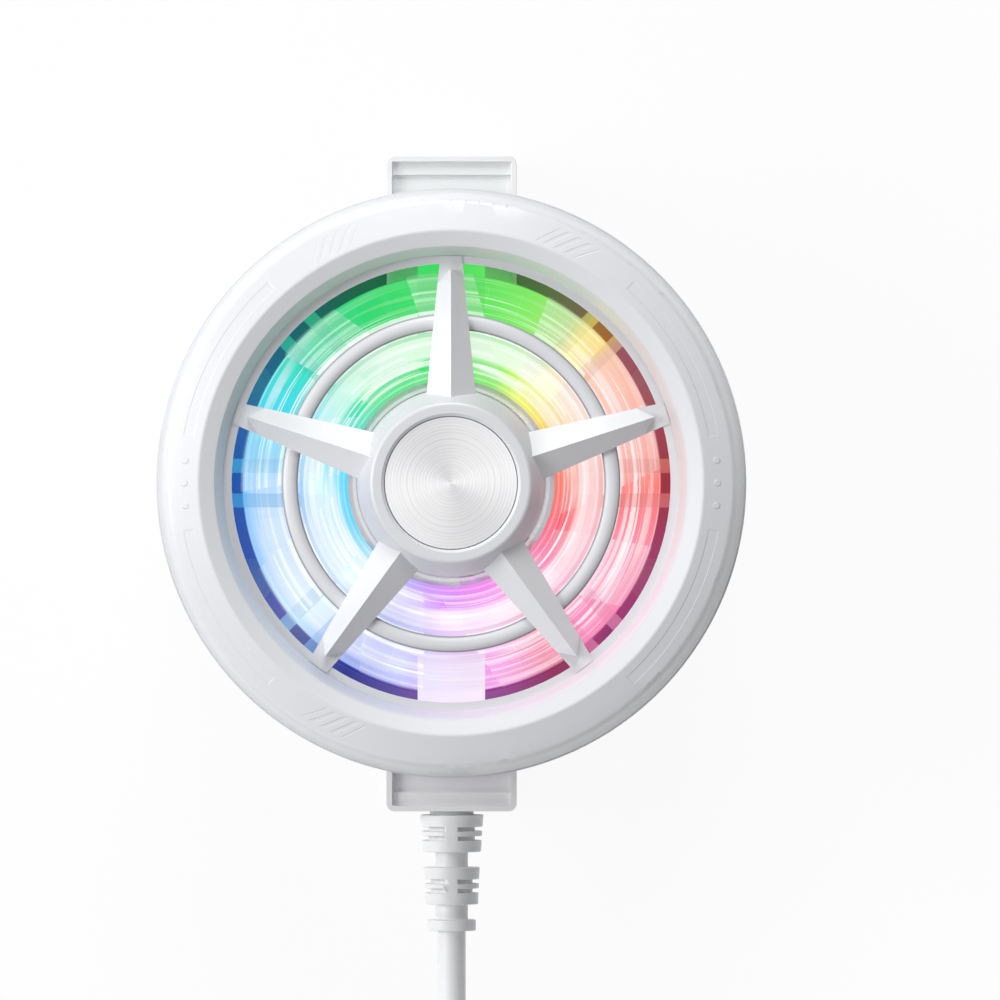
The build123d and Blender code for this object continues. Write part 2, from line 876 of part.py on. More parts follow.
# Sliding jaw: its neck enters the case and forks round the cooling module
fork_inner = module_size / 2 + fork_clearance
fork_outer = fork_inner + fork_leg
fork_arc = shell_inner - stop_gap
fork_y = module_size / 2 + stop_gap
fork_end_y = fork_y - fork_length
fork_side_y = math.sqrt(fork_arc**2 - fork_outer**2) - jaw_travel
with BuildPart() as sliding_jaw:
    add(jaw_body(fork_y, slide_z, slide_top_z))
    with BuildSketch(Plane.XY.offset(slide_z)):
        with BuildLine():
            Polyline(
                (-fork_outer, fork_side_y),
                (-fork_outer, fork_end_y + ear_length),
                (-fork_outer - ear_reach, fork_end_y + ear_length),
                (-fork_outer - ear_reach, fork_end_y),
                (-fork_inner, fork_end_y),
                (-fork_inner, fork_y),
                (fork_inner, fork_y),
                (fork_inner, fork_end_y),
                (fork_outer + ear_reach, fork_end_y),
                (fork_outer + ear_reach, fork_end_y + ear_length),
                (fork_outer, fork_end_y + ear_length),
                (fork_outer, fork_side_y),
            )
            ThreePointArc(
                (fork_outer, fork_side_y), (0, fork_arc - jaw_travel), (-fork_outer, fork_side_y)
            )
        make_face()
    extrude(amount=slide_height)
    with BuildSketch(Plane.XY.offset(slide_top_z)):
        with Locations((0, (fork_y + wall_y) / 2)):
            Rectangle(jaw_width - 2 * rim_width, wall_y - fork_y - 2 * fork_leg)
    extrude(amount=-rim_height, mode=Mode.SUBTRACT)
finish(sliding_jaw, "sliding_jaw")

with BuildPart() as sliding_jaw_pad:
    add(jaw_pad())
finish(sliding_jaw_pad, "sliding_jaw_pad")

# Fixed jaw: a taller neck screwed to the floor of the case, bored for the cable
with BuildPart() as fixed_jaw:
    add(mirror(jaw_body(neck_inner, floor_z, neck_top_z), about=Plane.XZ, mode=Mode.PRIVATE))
    with BuildSketch(Plane.XY.offset(floor_z)):
        with Locations((0, -neck_inner - wing_length / 2)):
            Rectangle(jaw_width + 2 * wing_reach, wing_length)
        with Locations(*jaw_screw_points):
            Circle(screw_radius + fit_gap, mode=Mode.SUBTRACT)
    extrude(amount=wing_thickness)
    with BuildSketch(Plane.XZ.offset(neck_inner)):
        with Locations((0, cord_z)):
            Circle(relief_bore)
    extrude(amount=jaw_reach - neck_inner, mode=Mode.SUBTRACT)
finish(fixed_jaw, "fixed_jaw")

with BuildPart() as fixed_jaw_pad:
    add(mirror(jaw_pad(), about=Plane.XZ, mode=Mode.PRIVATE))
finish(fixed_jaw_pad, "fixed_jaw_pad")

# Springs between the ears of the fork and the posts of the case
spring_top_y = fork_end_y - spring_end_gap
spring_low_y = -spring_post_y + spring_post_radius + spring_end_gap
spring_z = slide_z + slide_height / 2
with BuildPart() as jaw_springs:
    with BuildSketch(Plane.XZ.offset(-spring_top_y)):
        with Locations((-spring_x, spring_z), (spring_x, spring_z)):
            Circle(spring_radius)
            Circle(spring_radius - spring_wall, mode=Mode.SUBTRACT)
    extrude(amount=spring_top_y - spring_low_y)
finish(jaw_springs, "jaw_springs")

# Screws: a round head with a cross recess over a plain shank, each group in one piece
def screws(points, head_low, length, head_down):
    """Screws at points; the head's bearing face is at head_low and the shank runs from it."""
    way = 1 if head_down else -1
    with BuildPart() as group:
        with BuildSketch(Plane.XY.offset(head_low)):
            with Locations(*points):
                Circle(screw_head_radius)
        extrude(amount=-way * screw_head_height)
        with BuildSketch(Plane.XY.offset(head_low)):
            with Locations(*points):
                Circle(screw_radius - fit_gap / 2)
        extrude(amount=way * length)
    return group.part


screw_groups = {
    "case_screws": screws(
        case_points, back_z + screw_head_height, case_screw_length - fit_gap, True
    ),
    "sink_screws": screws(sink_points, fin_z, sink_screw_length - fit_gap + sink_base, False),
    "frame_screws": screws(
        lug_points, frame_z, frame_screw_length - fit_gap + frame_thickness, True
    ),
    "jaw_screws": screws(
        jaw_screw_points, floor_z + wing_thickness, jaw_screw_length, False
    ),
}
for label, group in screw_groups.items():
    with BuildPart() as screw_set:
        add(group)
    finish(screw_set, label)

# Control board: a crescent over the fixed jaw, with its chip, coil, socket and capacitors
with BuildPart() as control_board:
    with BuildSketch(Plane.XY.offset(board_z)):
        middle_line = CenterArc(
            (0, 0),
            (board_inner + board_outer) / 2,
            cable_angle - board_half_angle,
            2 * board_half_angle,
            mode=Mode.PRIVATE,
        )
        SlotArc(middle_line, board_outer - board_inner)
        with BuildSketch(mode=Mode.INTERSECT):
            ring(board_inner, board_outer)
    extrude(amount=board_thickness)
finish(control_board, "control_board")

with BuildPart() as board_parts:
    for angle, length, width, height in board_layout:
        with PolarLocations((board_inner + board_outer) / 2, 1, start_angle=cable_angle + angle):
            with Locations((0, 0, board_z + board_thickness + height / 2)):
                Box(width, length, height)
finish(board_parts, "board_parts")


def wires(label, spacing, *route):
    """Pair of round wires beside each other, along a route given as (y, z) with one bend."""
    (start_y, start_z), (bend_y, bend_z), (end_y, end_z) = route
    with BuildPart() as pair:
        for x in (-spacing, spacing):
            with BuildLine() as path:
                FilletPolyline(
                    (x, start_y, start_z),
                    (x, bend_y, bend_z),
                    (x, end_y, end_z),
                    radius=wire_bend,
                )
            with BuildSketch(Plane(origin=path.line @ 0, z_dir=path.line % 0)):
                RegularPolygon(wire_radius, wire_sides)
            sweep(path=path.line)
    finish(pair, label)


wires(
    "module_leads",
    module_wire_x,
    (-module_size / 2 + module_inset, sink_z - module_height / 2),
    (-wire_rise_y, sink_z - module_height / 2),
    (-wire_rise_y, board_z),
)
wires(
    "supply_leads",
    supply_wire_x,
    (-jaw_reach + jaw_wall + relief_anchor, cord_z),
    (-wire_rise_y, cord_z),
    (-wire_rise_y, board_z),
)
wires(
    "fan_leads",
    fan_wire_x,
    (-frame_boss_radius, frame_z - frame_boss_depth / 2),
    (-wire_rise_y - wire_radius, frame_z - frame_boss_depth / 2),
    (-wire_rise_y - wire_radius, board_z + board_thickness),
)

# Strain relief on the cable's axis: shank in the jaw's bore, two slotted segments, cores, end ring
cord_axis = Axis((0, 0, cord_z), (0, -1, 0))
segment_starts = (relief_neck, relief_neck + relief_segment + relief_core)
ring_start = relief_neck + 2 * (relief_segment + relief_core)
relief_end_y = -jaw_reach - ring_start - relief_ring
with BuildPart() as strain_relief:
    with BuildSketch(Plane.XY.offset(cord_z)):
        outline(
            (0, -jaw_reach + jaw_wall + relief_anchor),
            (relief_bore - fit_gap / 2, -jaw_reach + jaw_wall + relief_anchor),
            (relief_bore - fit_gap / 2, -jaw_reach),
            (relief_neck_radius, -jaw_reach),
            (relief_neck_radius, -jaw_reach - segment_starts[0]),
            (relief_start_radius, -jaw_reach - segment_starts[0]),
            (relief_mid_radius, -jaw_reach - segment_starts[0] - relief_segment),
            (relief_core_radius, -jaw_reach - segment_starts[0] - relief_segment),
            (relief_core_radius, -jaw_reach - segment_starts[1]),
            (relief_next_radius, -jaw_reach - segment_starts[1]),
            (relief_last_radius, -jaw_reach - segment_starts[1] - relief_segment),
            (relief_core_radius, -jaw_reach - segment_starts[1] - relief_segment),
            (relief_core_radius, -jaw_reach - ring_start),
            (relief_ring_radius, -jaw_reach - ring_start),
            (relief_ring_radius, relief_end_y),
            (0, relief_end_y),
        )
    revolve(axis=cord_axis)
    for start in segment_starts:
        for share in relief_slot_shares:
            with BuildSketch(Plane.XY.offset(cord_z - relief_start_radius)):
                with GridLocations(relief_web + relief_start_radius, 0, 2, 1):
                    with Locations((0, -jaw_reach - start - share * relief_segment)):
                        Rectangle(relief_start_radius, relief_slot)
            extrude(amount=2 * relief_start_radius, mode=Mode.SUBTRACT)
finish(strain_relief, "strain_relief")

# Route of the free cable: out of the relief, down to the floor and up to the coil's first turn
coil_z = cord_radius + tie_wall + tie_gap
lead_route = (
    (0, relief_end_y, cord_z),
    (0, lead_drop_y, cord_z),
    (coil_x, lead_floor_y, coil_z),
    (coil_x, lead_end_y, coil_z),
)
coil_top_z = coil_z + coil_pitch
plug_z = grip_height / 2
tail_route = (
    (coil_x, tail_start_y, coil_top_z),
    (coil_x, tail_turn_y, coil_top_z),
    (plug_x, plug_turn_y, plug_z),
    (plug_x, plug_y, plug_z),
)


def bend_radii(route):
    """Largest arc that each corner's two runs allow."""
    radii = []
    for before, corner, after in zip(route, route[1:], route[2:]):
        first = Vector(*corner) - Vector(*before)
        second = Vector(*after) - Vector(*corner)
        shorter = min(first.length, second.length)
        radii.append(bend_share * shorter / math.tan(math.radians(first.get_angle(second) / 2)))
    return radii


def tube(label, route):
    """Round cable along a route, with its radii and volume printed."""
    radii = bend_radii(route)
    with BuildPart() as cable:
        with BuildLine() as path:
            FilletPolyline(*route, radius=radii)
        with BuildSketch(Plane(origin=path.line @ 0, z_dir=path.line % 0)) as section:
            RegularPolygon(cord_radius, cord_sides)
        sweep(path=path.line)
    long = path.wires()[0].length
    whole = section.sketch.area * long
    print(label, "radii", [round(r, 1) for r in radii], "length", round(long, 1))
    print(label, "volume", round(cable.part.volume, 1), "section times length", round(whole, 1))
    finish(cable, label)


tube("cord_lead", lead_route)
tube("cord_tail", tail_route)

# Coil: half turns whose radius shrinks by half a pitch, a climbing half turn, then out again
coil_straight = 2 * cord_radius
coil_y = lead_end_y - coil_straight
climb_radius = coil_first_radius - coil_turns * coil_pitch
stations = [(coil_x, coil_y, coil_z)]
for n in range(2 * coil_turns):
    way = 1 if n % 2 == 0 else -1
    x, y, z = stations[-1]
    stations.append((x + way * 2 * (coil_first_radius - n * coil_pitch / 2), y, z))
x, y, z = stations[-1]
stations.append((x + climb_radius, y - math.hypot(climb_radius, coil_pitch / 2), z + coil_pitch / 2))
stations.append((x + 2 * climb_radius, y, z + coil_pitch))
for n in range(2 * coil_turns - 1):
    way = -1 if n % 2 == 0 else 1
    x, y, z = stations[-1]
    stations.append((x + way * 2 * (climb_radius + (n + 1) * coil_pitch / 2), y, z))

with BuildPart() as cord_coil:
    with BuildLine() as winding:
        Line(lead_route[-1], stations[0])
        heading = Vector(0, -1, 0)
        for before, after in zip(stations, stations[1:]):
            turn = TangentArc(before, after, tangent=heading)
            heading = turn % 1
        Line(stations[-1], tail_route[0])
    with BuildSketch(Plane(origin=lead_route[-1], z_dir=(0, -1, 0))):
        RegularPolygon(cord_radius, coil_sides, rotation=90)
    sweep(path=winding.wires()[0])
finish(cord_coil, "cord_coil")

coil_line = winding.wires()[0]
coil_points = [coil_line @ (n / coil_check_points) for n in range(coil_check_points + 1)]
skip = round(coil_check_points * 4 * cord_radius / coil_line.length) + 1
least = min(
    (coil_points[a] - coil_points[b]).length
    for a in range(len(coil_points))
    for b in range(a + skip, len(coil_points))
)
print("coil length", round(coil_line.length, 1), "least gap to itself", round(least - 2 * cord_radius, 2))

# Tie round both layers, where the turns pass the far side of the coil
turn_bow = climb_radius - math.sqrt(climb_radius**2 - (tie_width / 2) ** 2)
tie_first_x = coil_x + 2 * coil_first_radius - coil_turns * coil_pitch
tie_low_x = tie_first_x - cord_radius - tie_gap - turn_bow
tie_high_x = coil_x + 2 * coil_first_radius + cord_radius + tie_gap
tie_middle_z = (coil_z + coil_top_z) / 2
with BuildPart() as coil_tie:
    with BuildSketch(Plane.XZ.offset(-coil_y - tie_width / 2)):
        with Locations(((tie_low_x + tie_high_x) / 2, tie_middle_z)):
            tie_inside = (tie_high_x - tie_low_x, coil_pitch + 2 * (cord_radius + tie_gap))
            RectangleRounded(*(side + 2 * tie_wall for side in tie_inside), cord_radius)
            RectangleRounded(*tie_inside, cord_radius - tie_wall, mode=Mode.SUBTRACT)
    extrude(amount=tie_width)
finish(coil_tie, "coil_tie")

# Plug: grip with finger grooves, metal shell with its windows, tongue and contacts
socket_y = plug_y - grip_length
plug_plane = Plane(origin=(plug_x, plug_y, plug_z), x_dir=(1, 0, 0), z_dir=(0, -1, 0))
with BuildPart() as plug_grip:
    with BuildSketch(plug_plane):
        RectangleRounded(grip_neck_width, grip_neck_height, grip_corner)
    with BuildSketch(plug_plane.offset(grip_taper)):
        RectangleRounded(grip_width, grip_height, grip_corner)
    loft()
    with BuildSketch(plug_plane.offset(grip_taper)):
        RectangleRounded(grip_width, grip_height, grip_corner)
    extrude(amount=grip_length - grip_taper)
    for n in range(grip_groove_count):
        for side in (-1, 1):
            depth = grip_taper + grip_groove_pitch * (n + 1)
            with Locations((plug_x + side * grip_width / 2, plug_y - depth, plug_z)):
                Box(2 * grip_groove, grip_groove_pitch / 2, grip_height, mode=Mode.SUBTRACT)
finish(plug_grip, "plug_grip")

socket_plane = plug_plane.offset(grip_length)
with BuildPart() as plug_shell:
    with BuildSketch(socket_plane):
        RectangleRounded(socket_width, socket_height, socket_wall * 2)
        RectangleRounded(
            socket_width - 2 * socket_wall,
            socket_height - 2 * socket_wall,
            socket_wall,
            mode=Mode.SUBTRACT,
        )
    extrude(amount=socket_length)
    with Locations((plug_x, socket_y - socket_window_share * socket_length, plug_z)):
        with GridLocations(socket_width / 2, 0, 2, 1):
            Box(socket_window, socket_window, socket_height + cut_over, mode=Mode.SUBTRACT)
finish(plug_shell, "plug_shell")

tongue_top = socket_height / 2 - socket_wall - fit_gap
with BuildPart() as plug_tongue:
    with BuildSketch(socket_plane):
        with Locations((0, tongue_top - tongue_height / 2)):
            Rectangle(socket_width - 2 * (socket_wall + fit_gap), tongue_height)
    extrude(amount=socket_length - tongue_short)
finish(plug_tongue, "plug_tongue")

with BuildPart() as plug_contacts:
    with BuildSketch(socket_plane):
        with Locations((0, tongue_top - tongue_height - contact_height / 2)):
            with GridLocations(contact_pitch, 0, contact_count, 1):
                Rectangle(contact_width, contact_height)
    extrude(amount=socket_length - 2 * tongue_short)
finish(plug_contacts, "plug_contacts")
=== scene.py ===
# %% [markdown]
# # A clip-on cooling fan for a phone, dressed in Blender
# The solids were drawn in a CAD program and packed as a frame of bodies and nodes. This lesson gives
# them finishes, smooth edges, a soft cable, light and a camera. Everything is in metres, in the
# frame's own coordinates: Z comes out through the guard and the cable leaves towards -Y.

# %% Loading the frame
import json
import math

import bmesh
import bpy
from mathutils import Matrix


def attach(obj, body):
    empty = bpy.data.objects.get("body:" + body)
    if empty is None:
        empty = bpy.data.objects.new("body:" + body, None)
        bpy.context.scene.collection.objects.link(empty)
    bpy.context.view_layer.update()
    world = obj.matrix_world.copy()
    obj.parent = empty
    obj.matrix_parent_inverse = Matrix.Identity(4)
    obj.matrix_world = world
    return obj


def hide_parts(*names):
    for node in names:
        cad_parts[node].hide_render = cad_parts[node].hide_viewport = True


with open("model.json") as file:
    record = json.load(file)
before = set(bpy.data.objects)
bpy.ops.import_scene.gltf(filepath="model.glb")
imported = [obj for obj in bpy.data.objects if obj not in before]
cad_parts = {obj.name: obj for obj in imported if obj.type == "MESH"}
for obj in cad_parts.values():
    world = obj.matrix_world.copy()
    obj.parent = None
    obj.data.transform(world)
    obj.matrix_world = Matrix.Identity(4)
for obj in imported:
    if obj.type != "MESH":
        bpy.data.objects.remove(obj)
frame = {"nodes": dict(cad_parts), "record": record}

MM = 0.001
scene = bpy.context.scene
scene.view_settings.view_transform = "Standard"
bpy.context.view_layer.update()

# %% [markdown]
# ## Camera
# The picture was taken from straight above the guard with a long lens, so the camera stands high over
# the fan and looks down -Z, which is how a new camera points. A long lens keeps the round body round
# and hides its side wall. The lens follows from the width that the picture takes in.

# %% Camera
face_height = 27 * MM
camera_distance = 1.2
picture_width = 106.8 * MM
picture_middle = (5.2 * MM, -1.8 * MM)
lens = bpy.data.cameras.new("camera")
lens.sensor_width = 36
lens.lens = lens.sensor_width * camera_distance / picture_width
camera = bpy.data.objects.new("camera", lens)
camera.location = (*picture_middle, face_height + camera_distance)
scene.collection.objects.link(camera)
scene.camera = camera
print("lens in mm:", round(lens.lens))

# %% [markdown]
# ## Nodes written as sums
# A finish is a small program over the surface. Wiring its Math nodes by hand is slow to read, so one
# class wraps a socket and gives it +, -, * and /, and each of these adds its Math node. A second class
# holds a node tree and has one method that adds any other node.

# %% Wrapper for sockets
class Amount:
    """A socket that varies over the surface; arithmetic on it adds Math nodes."""

    def __init__(self, tree, socket):
        self.tree, self.socket = tree, socket

    def math(self, operation, *others, first=None):
        node = self.tree.nodes.new("ShaderNodeMath")
        node.operation = operation
        values = ([] if first is None else [first]) + [self, *others]
        for slot, value in zip(node.inputs, values):
            connect(self.tree, slot, value)
        return Amount(self.tree, node.outputs[0])

    def __add__(self, other):
        return self.math("ADD", other)

    def __sub__(self, other):
        return self.math("SUBTRACT", other)

    def __mul__(self, other):
        return self.math("MULTIPLY", other)

    def __truediv__(self, other):
        return self.math("DIVIDE", other)

    def __rsub__(self, other):
        return self.math("SUBTRACT", first=other)

    __radd__ = __add__
    __rmul__ = __mul__


def connect(tree, slot, value):
    """Links a value that varies, or writes a plain one into the socket."""
    if isinstance(value, Amount):
        tree.links.new(value.socket, slot)
    elif isinstance(value, tuple) and len(slot.default_value) > len(value):
        slot.default_value = (*value, 1)
    else:
        slot.default_value = value


# %% [markdown]
# ## A finish
# Every material starts from the Principled shader and from Object coordinates, which stay on the piece
# when it moves. Nearly everything on this fan is round about the Z axis, so the distance from that axis
# and the angle round it are worked out once and serve for turned rings and for the colours of the light.

# %% Class for finishes
class Finish:
    """A material under construction."""

    def __init__(self, name, tree=None):
        if tree is None:
            self.material = bpy.data.materials.new(name)
            self.material.use_nodes = True
            tree = self.material.node_tree
        self.tree = tree
        self.shader = tree.nodes.get("Principled BSDF")
        self.place = self.add("TexCoord", out="Object")
        self.x, self.y, self.z = (
            self.add("SeparateXYZ", sockets={0: self.place}, out=axis) for axis in range(3)
        )
        self.radius = (self.x * self.x + self.y * self.y).math("SQRT")
        self.angle = self.y.math("ARCTAN2", self.x) / (2 * math.pi) + 0.5

    def add(self, kind, settings=None, sockets=None, out=0):
        """Adds a node: its settings first, then its sockets. Gives back one output."""
        node = self.tree.nodes.new("ShaderNode" + kind)
        for name, value in (settings or {}).items():
            if name == "stops":
                ramp = node.color_ramp
                while len(ramp.elements) < len(value):
                    ramp.elements.new(1)
                for element, (at, colour) in zip(ramp.elements, value):
                    element.position = at
                    element.color = (*colour, 1)
            else:
                setattr(node, name, value)
        for name, value in (sockets or {}).items():
            connect(self.tree, node.inputs[name], value)
        return Amount(self.tree, node.outputs[out])

    def noise(self, scale, detail=2.0):
        return self.add("TexNoise", sockets={"Vector": self.place, "Scale": scale, "Detail": detail})

    def rings(self, per_mm, detail=2.0):
        """Noise that changes only with the distance from the Z axis."""
        return self.add(
            "TexNoise",
            {"noise_dimensions": "1D"},
            {"W": self.radius / MM * per_mm, "Scale": 1.0, "Detail": detail},
        )

    def between(self, value, low, high):
        """0 below low, 1 above high, and a smooth step from one to the other."""
        return self.add(
            "MapRange",
            {"interpolation_type": "SMOOTHSTEP"},
            {"Value": value, "From Min": low, "From Max": high},
        )

    def blend(self, share, first, second):
        """Mix of two colours, with share 0 giving the first."""
        return self.add("Mix", {"data_type": "RGBA"}, {0: share, 6: first, 7: second}, out=2)

    def tint(self, share, first, second):
        """Product of two colours, so that one is lit by the other."""
        settings = {"data_type": "RGBA", "blend_type": "MULTIPLY"}
        return self.add("Mix", settings, {0: share, 6: first, 7: second}, out=2)

    def bump(self, height, depth, strength=1.0):
        sockets = {"Height": height, "Distance": depth, "Strength": strength}
        self.set(Normal=self.add("Bump", sockets=sockets))

    def set(self, **sockets):
        """Sets sockets of the Principled shader; a name's underscores are spaces."""
        for name, value in sockets.items():
            connect(self.tree, self.shader.inputs[name.replace("_", " ")], value)


# %% [markdown]
# ## Floor, background and light
# The product stands before pure white. Light on the floor alone would have to be so strong that it
# burned out the fan, so the floor and the world look white only to camera, mirror and glass rays and
# light the fan at a plain level. Two broad lamps, at the left and at the top, model the bezel: slopes
# that face either turn white, and only the lower right, which faces away from both, turns grey. A weak
# third one keeps that side from going dull.

# %% Floor and background
def seen_directly(nodes):
    """1 for rays from the camera, from a mirror or through glass."""
    ray = nodes.tree.nodes.new("ShaderNodeLightPath")
    seen = [Amount(nodes.tree, ray.outputs[name]) for name in
            ("Is Camera Ray", "Is Glossy Ray", "Is Transmission Ray")]
    return seen[0].math("MAXIMUM", seen[1]).math("MAXIMUM", seen[2])


floor_reach = 3
floor_height = -0.1 * MM
floor_glow = 0.92
floor_white = Finish("floor_white")
floor_white.set(Roughness=0.9, Base_Color=floor_white.blend(
    floor_white.noise(6), (0.9, 0.9, 0.9), (0.94, 0.94, 0.94)))
floor_output = floor_white.tree.nodes["Material Output"]
glow = floor_white.add("Emission", sockets={"Color": (1, 1, 1), "Strength": 1.0})
lit_floor = floor_white.add("MixShader", sockets={
    0: seen_directly(floor_white) * floor_glow,
    1: Amount(floor_white.tree, floor_white.shader.outputs[0]),
    2: glow,
})
connect(floor_white.tree, floor_output.inputs["Surface"], lit_floor)

shape = bmesh.new()
bmesh.ops.create_grid(shape, x_segments=2, y_segments=2, size=floor_reach)
bmesh.ops.translate(shape, verts=shape.verts, vec=(0, 0, floor_height))
floor_mesh = bpy.data.meshes.new("floor")
shape.to_mesh(floor_mesh)
shape.free()
floor_mesh.materials.append(floor_white.material)
floor = bpy.data.objects.new("floor", floor_mesh)
scene.collection.objects.link(floor)

soft_level = 0.23
world = bpy.data.worlds.new("studio")
world.use_nodes = True
scene.world = world
sky = Finish("studio", world.node_tree)
soft = sky.add("Background", sockets={"Color": (1, 1, 1), "Strength": soft_level})
white = sky.add("Background", sockets={"Color": (1, 1, 1), "Strength": 1.0})
sky_mix = sky.add("MixShader", sockets={0: seen_directly(sky), 1: soft, 2: white})
connect(sky.tree, sky.tree.nodes["World Output"].inputs["Surface"], sky_mix)


# %% Lamps
lamp_size = 0.5


def lamp(name, place, power):
    """Square soft box that points at the fan."""
    light = bpy.data.lights.new(name, "AREA")
    light.shape, light.size, light.energy = "SQUARE", lamp_size, power
    box = bpy.data.objects.new(name, light)
    box.location = place
    box.rotation_mode = "QUATERNION"
    box.rotation_quaternion = box.location.to_track_quat("Z", "Y")
    scene.collection.objects.link(box)


lamp("left_lamp", (-0.8, 0.12, 0.54), 5.1)
lamp("top_lamp", (-0.02, 0.8, 0.54), 5.6)
lamp("fill_lamp", (-0.4, -0.72, 0.5), 1.8)
print("lamps set")

# %% [markdown]
# ## Plastics and metals
# Moulded plastic is never one colour: it has faint clouds, its gloss wanders a little and its mould
# left a fine grain. Bare metal has scratches of its machining. Each is one function, and each piece
# gets its own colour and depth from it.

# %% Plastic
cloud_scale, grain_scale = 70, 4200
cloud_share = 0.955


def darker(colour, share):
    """A colour with each channel cut to a share of itself."""
    return tuple(channel * share for channel in colour)


def moulded(name, colour, roughness=0.38, grain=0.012, coat=0.0):
    """Moulded plastic with faint clouds and uneven gloss. grain is the depth in mm of its fine grain."""
    finish = Finish(name)
    clouds = finish.noise(cloud_scale)
    fine = finish.noise(grain_scale, 1.0)
    finish.set(
        Base_Color=finish.blend(clouds, darker(colour, cloud_share), colour),
        Roughness=clouds * 0.1 + fine * 0.06 + (roughness - 0.08),
        Coat_Weight=coat,
        Coat_Roughness=0.2,
    )
    finish.bump(fine, grain * MM, 0.5)
    return finish


jaw_soft = moulded("jaw_soft", (0.62, 0.63, 0.65), 0.7, 0.03)
pad_grey = moulded("pad_grey", (0.42, 0.45, 0.5), 0.75, 0.03)
cord_white = moulded("cord_white", (0.88, 0.885, 0.9), 0.42, 0.01)
plug_white = moulded("plug_white", (0.84, 0.84, 0.85), 0.45, 0.012)
tie_white = moulded("tie_white", (0.8, 0.8, 0.8), 0.55, 0.02)
tongue_white = moulded("tongue_white", (0.85, 0.85, 0.86), 0.5)
part_black = moulded("part_black", (0.03, 0.03, 0.03), 0.45)
magnet_black = moulded("magnet_black", (0.05, 0.05, 0.055), 0.5)
washer_cream = moulded("washer_cream", (0.8, 0.78, 0.7), 0.5)
wire_red = moulded("wire_red", (0.55, 0.05, 0.04), 0.4)
module_white = moulded("module_white", (0.82, 0.82, 0.8), 0.6)


# %% Metal
def machined(name, colour, roughness=0.3, ring_depth=0.004):
    """Bare metal with the fine rings of its machining."""
    finish = Finish(name)
    rings = finish.rings(5.0)
    clouds = finish.noise(90)
    finish.set(
        Base_Color=finish.blend(rings * 0.6 + clouds * 0.4, darker(colour, 0.9), colour),
        Metallic=1.0,
        Roughness=rings * 0.12 + clouds * 0.06 + (roughness - 0.09),
    )
    finish.bump(rings, ring_depth * MM)
    return finish


screw_steel = machined("screw_steel", (0.6, 0.6, 0.62), 0.32)
motor_steel = machined("motor_steel", (0.55, 0.55, 0.57), 0.35)
plate_aluminium = machined("plate_aluminium", (0.78, 0.79, 0.8), 0.35)
bearing_brass = machined("bearing_brass", (0.75, 0.58, 0.28), 0.3)
contact_gold = machined("contact_gold", (0.9, 0.68, 0.28), 0.25)
winding_copper = machined("winding_copper", (0.8, 0.36, 0.18), 0.3, 0.01)
shell_steel = machined("shell_steel", (0.74, 0.74, 0.76), 0.24, 0.0)

# %% [markdown]
# ## Spun plate on the hub
# The round plate in the middle is spun metal: fine turned rings, crossed by the soft fans of light that
# a turned face shows. The rings are a bump that depends on the distance from the axis, and the fans are
# a painted sheen: a slow change of brightness and gloss with the angle.

# %% Spun metal
groove_pitch = 0.34 * MM
fan_turn = 0.7
spun = Finish("spun_plate")
groove = (spun.radius * (2 * math.pi / groove_pitch)).math("SINE") * 0.5 + 0.5
uneven = spun.rings(3.1, 3.0)
# Painted sheen: brighter fans round the angle, as a turned face shows in light.
fans = (spun.angle * (4 * math.pi) + fan_turn).math("SINE") * 0.5 + 0.5
brightness = groove * 0.2 + uneven * 0.35 + fans * 0.45
spun.set(
    Base_Color=spun.blend(brightness, (0.62, 0.62, 0.63), (0.86, 0.86, 0.87)),
    Metallic=0.8,
    Roughness=fans * 0.1 + uneven * 0.12 + 0.24,
    Anisotropic=0.6,
)
spun.bump(groove * 0.8 + uneven * 0.8, 0.016 * MM, 0.7)

# %% [markdown]
# ## The coloured light
# A ring of lamps under the wheel shines in one colour after another round the circle: green at the top,
# yellow and red on the right, pink and violet below, blue and cyan on the left. Its light on the parts
# inside the fan is painted light: they glow in its colours by their own emission. Two ramps over the
# angle hold the colours, one for the outer zone and one for the zone next to the hub, where the colours
# are deeper and turned a little further round. The turning wheel draws the light out into bright arcs,
# so noise that is slow with the angle and quick with the distance from the axis turns the painted glow
# to white. The wheel itself has no colour, because it would carry it round: it is clear, with pale rings
# that glow as painted streaks of light.

# %% Colours round the circle
outer_colours = [
    (-180, (0.04, 0.46, 0.90)),
    (-160, (0.10, 0.46, 0.92)),
    (-138, (0.40, 0.72, 0.97)),
    (-120, (0.07, 0.20, 0.75)),
    (-106, (0.30, 0.34, 0.90)),
    (-92, (0.72, 0.40, 0.92)),
    (-75, (0.88, 0.30, 0.72)),
    (-61, (0.82, 0.13, 0.26)),
    (-47, (0.92, 0.26, 0.50)),
    (-20, (0.93, 0.28, 0.40)),
    (0, (0.90, 0.17, 0.13)),
    (24, (0.92, 0.40, 0.30)),
    (40, (0.88, 0.50, 0.33)),
    (43, (0.95, 0.72, 0.06)),
    (49, (0.90, 0.80, 0.12)),
    (53, (0.45, 0.70, 0.20)),
    (66, (0.22, 0.80, 0.12)),
    (90, (0.04, 0.70, 0.10)),
    (118, (0.02, 0.66, 0.17)),
    (138, (0.02, 0.68, 0.40)),
    (152, (0.05, 0.70, 0.74)),
    (166, (0.06, 0.64, 0.88)),
    (180, (0.04, 0.46, 0.90)),
]
